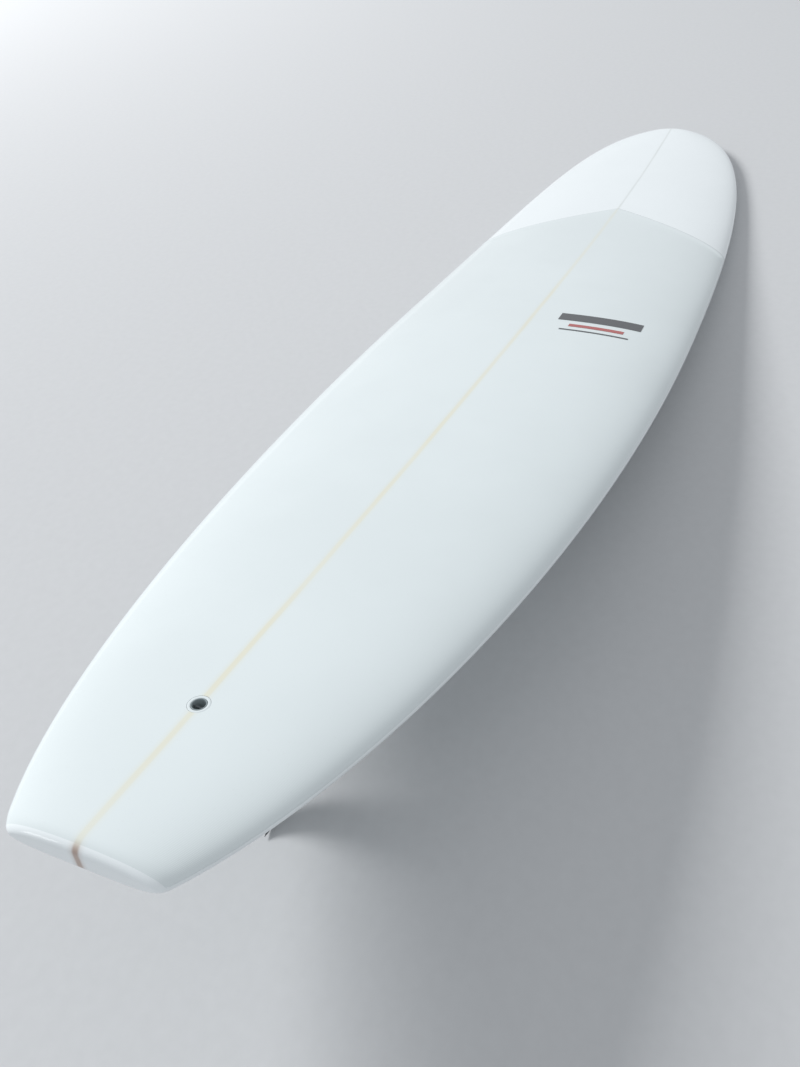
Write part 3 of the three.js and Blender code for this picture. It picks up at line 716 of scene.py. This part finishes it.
# %% Loft the skin
AROUND = 128
SKIN_WALL = 1.0
TAIL_ARC_STEP = 7.5
HIP_STEPS, SHOULDER_STEPS = 56, 72


def board_stations():
    """Distances from the tail, close together where the outline turns fast."""
    arc = [step * TAIL_ARC_STEP for step in range(int(90 / TAIL_ARC_STEP) + 1)]
    stations = [TAIL_EDGE_RADIUS * (1 - math.cos(math.radians(angle))) for angle in arc]
    for handles, steps in ((HIP, HIP_STEPS), (SHOULDER, SHOULDER_STEPS)):
        for step in range(1, steps):
            x, y = curve_point(handles, step / steps)
            if x > stations[-1] + 2 and y > NOSE_CAP_HALF_WIDTH:
                stations.append(x)
            elif handles is SHOULDER and y > NOSE_CAP_HALF_WIDTH and x > stations[-1] + 0.05:
                stations.append(x)
        if handles is HIP:
            stations.append(WIDE_POINT)
    return stations + [BOARD_LENGTH]


STATIONS = board_stations()
WIDTHS = {x: half_width_at(x) for x in STATIONS}
skin = bmesh.new()
loft(skin, STATIONS, AROUND, lambda x, turn: surface_point(x, WIDTHS[x], turn))
print("skin before its openings:", len(skin.faces), "faces over", len(STATIONS), "stations")

# %% Open the skin for the plug and the fin box
POCKET_RADIUS = 12.8
X_AXIS, Y_AXIS, Z_AXIS = Vector((1, 0, 0)), Vector((0, 1, 0)), Vector((0, 0, 1))


def axis_of(place, axis):
    return (place.to_3x3() @ axis).normalized()


def faces_near(bm, middle, up, reach):
    """The faces around a place that look the same way as it does."""
    return [
        face
        for face in bm.faces
        if face.normal.dot(up) > 0.5
        and any((vert.co - middle).length < reach for vert in face.verts)
    ]


def open_for_plug(bm):
    middle, up = PLUG_PLACE.translation, axis_of(PLUG_PLACE, Z_AXIS)
    cut_opening(bm, faces_near(bm, middle, up, 5 * POCKET_RADIUS), middle,
                round_outline(POCKET_RADIUS), axis_of(PLUG_PLACE, X_AXIS), Y_AXIS)


def open_for_box(bm):
    middle, up = BOX_PLACE.translation, axis_of(BOX_PLACE, Z_AXIS)
    margin = 2 * (BOX_POTTING + TOUCH_GAP)
    outline = slot_outline(BOX_LENGTH + margin, BOX_WIDTH + margin, BOX_CORNER + margin / 2)
    cut_opening(bm, faces_near(bm, middle, -up, BOX_LENGTH), middle, outline,
                axis_of(BOX_PLACE, X_AXIS), Y_AXIS)


open_for_plug(skin)
open_for_box(skin)
bmesh.ops.solidify(skin, geom=skin.faces[:], thickness=SKIN_WALL)
bmesh.ops.recalc_face_normals(skin, faces=skin.faces)
finish_piece(skin, "board_skin", skin_finish, "board",
             replaces=("deck_laminate", "bottom_laminate"))

# %% [markdown]
# ## The deck patch
#
# A second layer of cloth covers the deck, from the tail to a swept edge behind the nose. It is what
# draws the wide V across the board: the foam looks a shade whiter where the patch stops, and the
# skin ahead of it is made whiter still as painted light on the nose. It is made from a grid that is
# laid over the deck with its front row along the V. The layer fades out over a few millimetres at
# its edges, as the sanded resin does, and a thin wall makes it a solid sheet.

# %% Lay the deck patch
PATCH_POINT = 2051.0
PATCH_SWEEP = math.radians(35.2)
PATCH_BACK = 5.0
PATCH_EDGE_TURN = math.radians(86)
PATCH_WALL = 0.6
PATCH_FADE = 4.5
PATCH_SINK = 0.02
EDGE_ROWS = (0.0, 0.8, 1.6, 2.6, 3.6, 5.0, 8.0, 14.0)
BACK_ROWS = (0.0, 1.5, 3.5, 7.0, 12.0, 19.0)


def fade(distance, reach):
    share = min(max(distance / reach, 0.0), 1.0)
    return share * share * (3 - 2 * share)


def patch_front(turn):
    """Where the V crosses the line of the deck at this turn."""
    x = PATCH_POINT
    for _ in range(30):
        x = PATCH_POINT - half_width_at(x) * abs(math.sin(turn)) * math.tan(PATCH_SWEEP)
    return x


PATCH_ROWS = 96
PATCH_COLUMNS = 96
sheet = bmesh.new()
bmesh.ops.create_grid(sheet, x_segments=PATCH_ROWS, y_segments=PATCH_COLUMNS, size=1)
fronts = {}
middle_rows = PATCH_ROWS - len(EDGE_ROWS) - len(BACK_ROWS) + 1
for vert in sheet.verts:
    row = round((vert.co.x + 1) / 2 * PATCH_ROWS)
    side = vert.co.y
    turn = math.pi + side * PATCH_EDGE_TURN
    key = round(side, 5)
    if key not in fronts:
        fronts[key] = patch_front(turn)
    from_front = PATCH_ROWS - row
    if from_front < len(EDGE_ROWS):
        x = fronts[key] - EDGE_ROWS[from_front]
    elif row < len(BACK_ROWS):
        x = PATCH_BACK + BACK_ROWS[row]
    else:
        start, stop = PATCH_BACK + BACK_ROWS[-1], fronts[key] - EDGE_ROWS[-1]
        x = start + (stop - start) * (row - len(BACK_ROWS) + 1) / middle_rows
    lift = PATCH_TOP * fade((fronts[key] - x) * math.cos(PATCH_SWEEP), PATCH_FADE)
    lift *= fade(x - PATCH_BACK, 3 * PATCH_FADE)
    lift *= fade(1 - abs(side), 0.06)
    vert.co = surface_point(x, half_width_at(x), turn, lift - PATCH_SINK)
bmesh.ops.recalc_face_normals(sheet, faces=sheet.faces)
if sum(face.normal.z for face in sheet.faces) < 0:
    bmesh.ops.reverse_faces(sheet, faces=sheet.faces)
open_for_plug(sheet)
bmesh.ops.solidify(sheet, geom=sheet.faces[:], thickness=PATCH_WALL)
bmesh.ops.recalc_face_normals(sheet, faces=sheet.faces)
finish_piece(sheet, "deck_patch_cloth", patch_finish, "board", replaces=("deck_patch",))

# %% [markdown]
# ## The fin patch
#
# The cloth over the fin box spreads the fin's load into the belly. It is a pointed oval that stops
# at the resin round the box. A grid is squeezed into the oval, laid under the belly and opened with
# the same helper as the skin.

# %% Lay the fin patch
FIN_PATCH_LENGTH, FIN_PATCH_WIDTH = 400.0, 110.0
FIN_PATCH_TOP, FIN_PATCH_WALL = 0.8, 0.5
OVAL_LONG_STEPS, OVAL_CROSS_STEPS = 96, 24
oval = bmesh.new()
bmesh.ops.create_grid(oval, x_segments=OVAL_LONG_STEPS, y_segments=OVAL_CROSS_STEPS, size=1)
for vert in oval.verts:
    reach_x, reach_y = vert.co.x, vert.co.y
    half = FIN_PATCH_WIDTH / 2 * (1 - reach_x * reach_x)
    x = BOX_MIDDLE + FIN_PATCH_LENGTH / 2 * reach_x
    y = max(half, 0.4) * reach_y
    to_edge = min((1 - abs(reach_y)) * half, (1 - abs(reach_x)) * FIN_PATCH_LENGTH / 2)
    lift = FIN_PATCH_TOP * fade(to_edge, PATCH_FADE)
    turn = math.asin(max(-1.0, min(1.0, y / half_width_at(x))))
    vert.co = surface_point(x, half_width_at(x), turn, lift - PATCH_SINK)
bmesh.ops.recalc_face_normals(oval, faces=oval.faces)
if sum(face.normal.z for face in oval.faces) > 0:
    bmesh.ops.reverse_faces(oval, faces=oval.faces)
open_for_box(oval)
bmesh.ops.solidify(oval, geom=oval.faces[:], thickness=FIN_PATCH_WALL)
bmesh.ops.recalc_face_normals(oval, faces=oval.faces)
finish_piece(oval, "fin_patch_cloth", patch_finish, "board", replaces=("fin_patch",))

# %% [markdown]
# ## The printed bars
#
# Three plain bars are printed on thin paper and laid under the gloss, across the board on the right
# of the stringer. They hold no lettering. Each is a grid that is laid on the deck, a hair above the
# patch, and solidified, so it follows the deck's curve exactly.

# %% Lay the printed bars
DECAL_FROM_TAIL, DECAL_FROM_STRINGER = 1341.0, 131.0
DECAL_LIFT, DECAL_WALL = 1.35, 0.15


def deck_bar(name, x_middle, y_middle, across, along, material, replaces):
    """A thin printed bar on the deck, `across` wide over the board and `along` deep."""
    bar = bmesh.new()
    bmesh.ops.create_grid(bar, x_segments=8, y_segments=40, size=0.5)
    bmesh.ops.scale(bar, vec=(along, across, 1), verts=bar.verts)
    for vert in bar.verts:
        x, y = x_middle + vert.co.x, y_middle + vert.co.y
        turn = math.pi - math.asin(y / half_width_at(x))
        vert.co = surface_point(x, half_width_at(x), turn, DECAL_LIFT)
    if sum(face.normal.z for face in bar.faces) < 0:
        bmesh.ops.reverse_faces(bar, faces=bar.faces)
    bmesh.ops.solidify(bar, geom=bar.faces[:], thickness=DECAL_WALL)
    bmesh.ops.recalc_face_normals(bar, faces=bar.faces)
    finish_piece(bar, name, material, "board", replaces=replaces)


BARS = {
    "long": (0, 158, 32, dark_ink, "dark_ink"),
    "short": (38, 104, 12, red_ink, "red_ink"),
    "thin": (60, 130, 5, dark_ink, "dark_ink"),
}
for size, (back, across, along, ink, slot) in BARS.items():
    deck_bar("decal_bar_" + size, DECAL_FROM_TAIL - back, -DECAL_FROM_STRINGER, across, along, ink,
             ("deck_decal_" + size,))

# %% [markdown]
# ## The leash plug
#
# The plug is a small moulded cup with a steel bar across it, set in resin flush with the deck. Round
# parts are spun: the cup's wall is drawn once as a profile, and a full turn makes the rest. A
# cylinder with a smaller one cut out would give the same bore but not the rounded lip.

# %% Spin the plug's cup and potting
PLUG_BORE, PLUG_WALL, PLUG_DEPTH, PLUG_FLOOR = 15.0, 1.5, 14.0, 2.5
PLUG_BAR, PLUG_BAR_DEPTH = 2.6, 5.0
PLUG_POTTING = 3.5
PLUG_TO_FRAME = BOARD_TO_FRAME @ PLUG_PLACE
SPIN_STEPS = 64


def spun(profile):
    """A closed profile of (radius, height) turned once round the upright axis."""
    bm = bmesh.new()
    corners = [bm.verts.new((radius, 0, height)) for radius, height in profile]
    sides = [bm.edges.new(pair) for pair in zip(corners, corners[1:] + corners[:1])]
    bmesh.ops.spin(bm, geom=corners + sides, cent=(0, 0, 0), axis=(0, 0, 1), angle=math.tau,
                   steps=SPIN_STEPS, use_merge=True)
    bmesh.ops.remove_doubles(bm, verts=bm.verts, dist=1e-4)
    bmesh.ops.recalc_face_normals(bm, faces=bm.faces)
    return bm


bore = PLUG_BORE / 2
outer = bore + PLUG_WALL
floor_top, floor_bottom = -PLUG_DEPTH, -PLUG_DEPTH - PLUG_FLOOR
axis_gap = 0.02
cup = spun([
    (axis_gap, floor_bottom), (outer - 0.5, floor_bottom), (outer, floor_bottom + 0.5),
    (outer, -0.5), (outer - 0.15, -0.15), (outer - 0.5, 0), (bore + 0.6, 0), (bore + 0.2, -0.15),
    (bore, -0.6), (bore, floor_top + 1.0), (bore - 0.3, floor_top + 0.3), (bore - 1.0, floor_top),
    (axis_gap, floor_top),
])
finish_piece(cup, "plug_cup", plug_finish, "board", ("leash_plug_cup",), PLUG_TO_FRAME)
ring_in, ring_out = outer + TOUCH_GAP, outer + PLUG_POTTING
potting_bottom = floor_bottom - PLUG_POTTING
potting = spun([
    (axis_gap, potting_bottom), (ring_out - 1, potting_bottom), (ring_out, potting_bottom + 1),
    (ring_out, -0.25), (ring_out - 0.4, -0.05), (ring_in + 0.5, -0.12), (ring_in, -0.3),
    (ring_in, floor_bottom - TOUCH_GAP), (axis_gap, floor_bottom - TOUCH_GAP),
])
finish_piece(potting, "plug_potting", resin_finish, "board", ("leash_plug_potting",),
             PLUG_TO_FRAME)

# %% Make the plug's bar
bar_length = 2 * outer - PLUG_WALL
pin = bmesh.new()
bmesh.ops.create_cone(pin, cap_ends=True, segments=32, radius1=PLUG_BAR / 2, radius2=PLUG_BAR / 2,
                      depth=bar_length)
rims = [edge for edge in pin.edges if abs(edge.verts[0].co.z - edge.verts[1].co.z) < 1e-4]
bmesh.ops.bevel(pin, geom=rims, offset=0.3, affect="EDGES", segments=3, profile=0.5, material=-1)
bmesh.ops.rotate(pin, cent=(0, 0, 0), matrix=Matrix.Rotation(math.pi / 2, 3, "X"), verts=pin.verts)
bmesh.ops.translate(pin, vec=(0, 0, -PLUG_BAR_DEPTH), verts=pin.verts)
finish_piece(pin, "plug_bar", bar_finish, "board", ("leash_plug_bar",), PLUG_TO_FRAME)

# %% [markdown]
# ## The fin
#
# The fin is one laminate: a blade with a rounded leading edge, full a third of the way back and thin
# behind, and a flat tab that sits in the box. The blade is lofted level by level between two curves,
# one for each edge. The tab's side is drawn flat and extruded, and holes for the pin and the screw
# are cut through it and lined by bridging the two rims.

# %% Loft the fin's blade
FIN_DEPTH, FIN_BASE = 216.0, 165.0
FIN_RAKE, FIN_TIP_CHORD, FIN_TIP_THICKNESS = 112.0, 16.0, 2.2
FIN_EAR, TAB_THICKNESS = 20.0, 9.2
FIN_FRONT, FIN_REAR = FIN_BASE / 2, -FIN_BASE / 2
TAB_FRONT = FIN_FRONT - FIN_EAR
FIN_TO_FRAME = BOARD_TO_FRAME @ BOX_PLACE
LEADING = [
    (TAB_FRONT, 1.0), (TAB_FRONT - 0.2 * FIN_DEPTH, -0.4 * FIN_DEPTH),
    (-FIN_RAKE + 0.42 * FIN_DEPTH, -0.86 * FIN_DEPTH), (-FIN_RAKE + FIN_TIP_CHORD / 2, -FIN_DEPTH),
]
TRAILING = [
    (FIN_REAR + 2, 1.0), (FIN_REAR + 0.12 * FIN_DEPTH, -0.4 * FIN_DEPTH),
    (FIN_REAR + 0.02 * FIN_DEPTH, -0.86 * FIN_DEPTH), (-FIN_RAKE - FIN_TIP_CHORD / 2, -FIN_DEPTH),
]
FOIL_STEPS, FIN_LEVELS = 56, 40
EDGE_BLUNT = 0.12


def foil_point(share, turn):
    """A point on the blade: share goes down it, turn goes round its section."""
    front, rear = curve_point(LEADING, share), curve_point(TRAILING, share)
    back = (1 - math.cos(turn)) / 2
    fullness = 2.45 * (1 - EDGE_BLUNT) * math.sqrt(back) * (1 - back) ** 0.9
    blunt = EDGE_BLUNT * min(1.0, 4 * abs(math.sin(turn)))
    thickness = FIN_TIP_THICKNESS + (TAB_THICKNESS - 0.4 - FIN_TIP_THICKNESS) * (1 - share) ** 0.8
    half = thickness / 2 * min(1.0, fullness + blunt)
    x = front[0] + (rear[0] - front[0]) * back
    return Vector((x, math.copysign(half, math.sin(turn)) if abs(math.sin(turn)) > 1e-6 else 0.0, front[1]))


blade = bmesh.new()
loft(blade, [level / FIN_LEVELS for level in range(FIN_LEVELS + 1)], FOIL_STEPS, foil_point)
tip_rim = [edge for edge in blade.edges if all(vert.co.z < 1e-3 - FIN_DEPTH for vert in edge.verts)]
bmesh.ops.bevel(blade, geom=tip_rim, offset=0.5, affect="EDGES", segments=3, profile=0.5, material=-1)
finish_piece(blade, "fin_blade", fin_finish, "fin_unit", ("fin",), FIN_TO_FRAME)

# %% Extrude the fin's tab
TAB_HEIGHT, HEAD_ROOM, EAR_TOP = 19.0, 3.5, 12.4
PIN_X, TRACK_MIDDLE, PIN_HOLE = FIN_REAR + 7.0, 14.3, 2.3
SCREW_X, SCREW_HOLE = FIN_FRONT - FIN_EAR / 2, 2.3
tab = bmesh.new()
side = [
    (FIN_REAR, 0), (TAB_FRONT, 0), (TAB_FRONT, HEAD_ROOM), (FIN_FRONT, HEAD_ROOM),
    (FIN_FRONT, EAR_TOP), (TAB_FRONT, EAR_TOP), (TAB_FRONT, TAB_HEIGHT), (FIN_REAR, TAB_HEIGHT),
]
corners = [tab.verts.new((x, -TAB_THICKNESS / 2, z)) for x, z in side]
bmesh.ops.contextual_create(tab, geom=corners)
grown = bmesh.ops.extrude_face_region(tab, geom=tab.faces[:])["geom"]
bmesh.ops.translate(tab, vec=(0, TAB_THICKNESS, 0), verts=verts_of(grown))
bmesh.ops.recalc_face_normals(tab, faces=tab.faces)
bmesh.ops.bevel(tab, geom=tab.edges[:], offset=0.4, affect="EDGES", segments=2, profile=0.5, material=-1)


def drill(bm, middle, along, radius, inside):
    """A round hole through the two faces that `inside` picks, lined with a wall."""
    before = set(edge for edge in bm.edges if edge.is_boundary)
    across = along.orthogonal().normalized()
    up = along.cross(across)
    for way in (along, -along):
        faces = [face for face in bm.faces if face.normal.dot(way) > 0.99 and inside(face)]
        cut_opening(bm, faces, middle, round_outline(radius, 24), across, up)
    rims = [edge for edge in bm.edges if edge.is_boundary and edge not in before]
    bmesh.ops.bridge_loops(bm, edges=rims)


drill(tab, Vector((PIN_X, 0, TRACK_MIDDLE)), Y_AXIS, PIN_HOLE, lambda face: face.calc_area() > 100)
drill(tab, Vector((SCREW_X, 0, 0)), Z_AXIS, SCREW_HOLE,
      lambda face: face.calc_center_median().x > TAB_FRONT and face.calc_area() > 50)
bmesh.ops.recalc_face_normals(tab, faces=tab.faces)
finish_piece(tab, "fin_tab", fin_finish, "fin_unit", (), FIN_TO_FRAME)

# %% [markdown]
# ## The fin's screw
#
# A slotted screw clamps the front of the fin to a plate in the box. Its profile is spun, with a
# row of ridges for the thread, and the slot is made by splitting the head's face with two planes and
# pushing the strip between them inwards. Ridges are not a true helix, but read the same at this size.

# %% Spin the screw and press its slot
HEAD_RADIUS, HEAD_HEIGHT, SHANK_RADIUS = 3.8, 2.6, 2.0
HEAD_TOP = HEAD_ROOM - TOUCH_GAP
HEAD_BOTTOM = HEAD_TOP - HEAD_HEIGHT
SHANK_TOP = 19.0
THREAD_PITCH, THREAD_DEPTH = 0.8, 0.3
DRIVE_WIDTH, DRIVE_DEPTH = 1.1, 1.2
threads = []
height = HEAD_TOP + 1.2
while height < SHANK_TOP - 1.2:
    threads += [(SHANK_RADIUS - THREAD_DEPTH, height), (SHANK_RADIUS, height + THREAD_PITCH / 2)]
    height += THREAD_PITCH
screw = spun([
    (axis_gap, HEAD_BOTTOM), (HEAD_RADIUS - 0.7, HEAD_BOTTOM), (HEAD_RADIUS - 0.2, HEAD_BOTTOM + 0.25),
    (HEAD_RADIUS, HEAD_BOTTOM + 0.7), (HEAD_RADIUS, HEAD_TOP - 0.2), (HEAD_RADIUS - 0.2, HEAD_TOP),
    (SHANK_RADIUS, HEAD_TOP), *threads, (SHANK_RADIUS - 0.5, SHANK_TOP), (axis_gap, SHANK_TOP),
])


def head_faces():
    """The flat faces of the screw's head, which look down."""
    return [
        face for face in screw.faces
        if face.normal.z < -0.99 and face.calc_center_median().z < HEAD_BOTTOM + 0.01
    ]


for half in (-DRIVE_WIDTH / 2, DRIVE_WIDTH / 2):
    face_parts = head_faces()
    parts = {vert for face in face_parts for vert in face.verts}
    parts |= {edge for face in face_parts for edge in face.edges}
    bmesh.ops.bisect_plane(screw, geom=list(parts) + face_parts, dist=1e-5,
                           plane_co=(0, half, 0), plane_no=(0, 1, 0))
strip = [face for face in head_faces() if abs(face.calc_center_median().y) < DRIVE_WIDTH / 2]
pushed = bmesh.ops.extrude_face_region(screw, geom=strip)["geom"]
bmesh.ops.translate(screw, vec=(0, 0, DRIVE_DEPTH), verts=verts_of(pushed))
bmesh.ops.translate(screw, vec=(SCREW_X, 0, 0), verts=screw.verts)
finish_piece(screw, "fin_screw_slotted", steel_finish, "screw", ("fin_screw",), FIN_TO_FRAME)

# %% [markdown]
# ## Finishes for the frame's own parts
#
# The rest of the engineering parts already have the right shape: the foam halves and the stringer
# inside the skin, the fin box with its resin, the pin and the plate. They stay as they are and only
# get their finish.

# %% Paint the frame's own parts
CAD_FINISHES = {
    "foam_left": foam_finish,
    "foam_right": foam_finish,
    "stringer": wood_finish,
    "fin_box": box_finish,
    "fin_box_potting": resin_finish,
    "fin_pin": brass_finish,
    "fin_plate": brass_finish,
}
for name, finish in CAD_FINISHES.items():
    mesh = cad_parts[name].data
    mesh.materials.clear()
    mesh.materials.append(finish)
print("painted", len(CAD_FINISHES), "CAD parts")

# %% [markdown]
# ## Floor and light
#
# One large soft panel stands well off to the left of the board. It lights the left rail and the nose
# best and lets the right rail fall into shade. From so far it lights the floor round the board more
# evenly than a near panel can, though the floor under the panel itself is bright. A white board
# mirrors a panel as a hard white square, so this one is kept out of reflections, and a weak one at
# the tail's left gives the gloss its highlight instead. The pale surround keeps the shade open.

# %% Lay the floor
FLOOR_HEIGHT, FLOOR_REACH = -0.0006, 12
floor_mesh = bmesh.new()
bmesh.ops.create_grid(floor_mesh, x_segments=4, y_segments=4, size=FLOOR_REACH)
bmesh.ops.translate(floor_mesh, vec=(0, 0, FLOOR_HEIGHT), verts=floor_mesh.verts)
floor_data = bpy.data.meshes.new("studio_floor")
floor_mesh.to_mesh(floor_data)
floor_mesh.free()
floor = bpy.data.objects.new("studio_floor", floor_data)
bpy.context.scene.collection.objects.link(floor)
floor_finish, floor_tree, floor_shader, floor_place = new_material("pale_floor")
grit = add(floor_tree, "ShaderNodeTexNoise", {"Scale": 60.0, "Detail": 5.0}, {"Vector": floor_place})
floor_tree.links.new(mix_colour(floor_tree, grit.outputs["Fac"], (0.60, 0.61, 0.62), (0.56, 0.57, 0.58)),
                     floor_shader.inputs["Base Color"])
floor_shader.inputs["Roughness"].default_value = 0.75
floor_data.materials.append(floor_finish)
print("floor laid at z =", FLOOR_HEIGHT)


# %% Hang the lights
KEY_PLACE, KEY_SIZE, KEY_POWER = (2.4, 11.5, 8.0), 4.2, 1850
STRIP_PLACE, STRIP_SIZE, STRIP_POWER = (-3.4, 2.2, 1.1), 0.7, 4
PANEL_TARGET = (0.0, 0.0, 0.1)
SURROUND_COLOUR, SURROUND_STRENGTH = (0.93, 0.96, 1.0, 1.0), 0.60


def soft_panel(name, place, size, power):
    """A square light panel that faces the board."""
    data = bpy.data.lights.new(name, "AREA")
    data.shape = "SQUARE"
    data.size = size
    data.energy = power
    light = bpy.data.objects.new(name, data)
    light.location = place
    light.rotation_euler = (Vector(PANEL_TARGET) - Vector(place)).to_track_quat("-Z", "Y").to_euler()
    bpy.context.scene.collection.objects.link(light)
    return light


key = soft_panel("key_panel", KEY_PLACE, KEY_SIZE, KEY_POWER)
key.visible_glossy = False  # the panel lights the board but isn't mirrored in it as a white square
soft_panel("rail_strip", STRIP_PLACE, STRIP_SIZE, STRIP_POWER)
world = bpy.data.worlds.new("studio_surround")
world.use_nodes = True
background = world.node_tree.nodes["Background"]
background.inputs["Color"].default_value = SURROUND_COLOUR
background.inputs["Strength"].default_value = SURROUND_STRENGTH
bpy.context.scene.world = world
bpy.context.scene.view_settings.view_transform = "Standard"
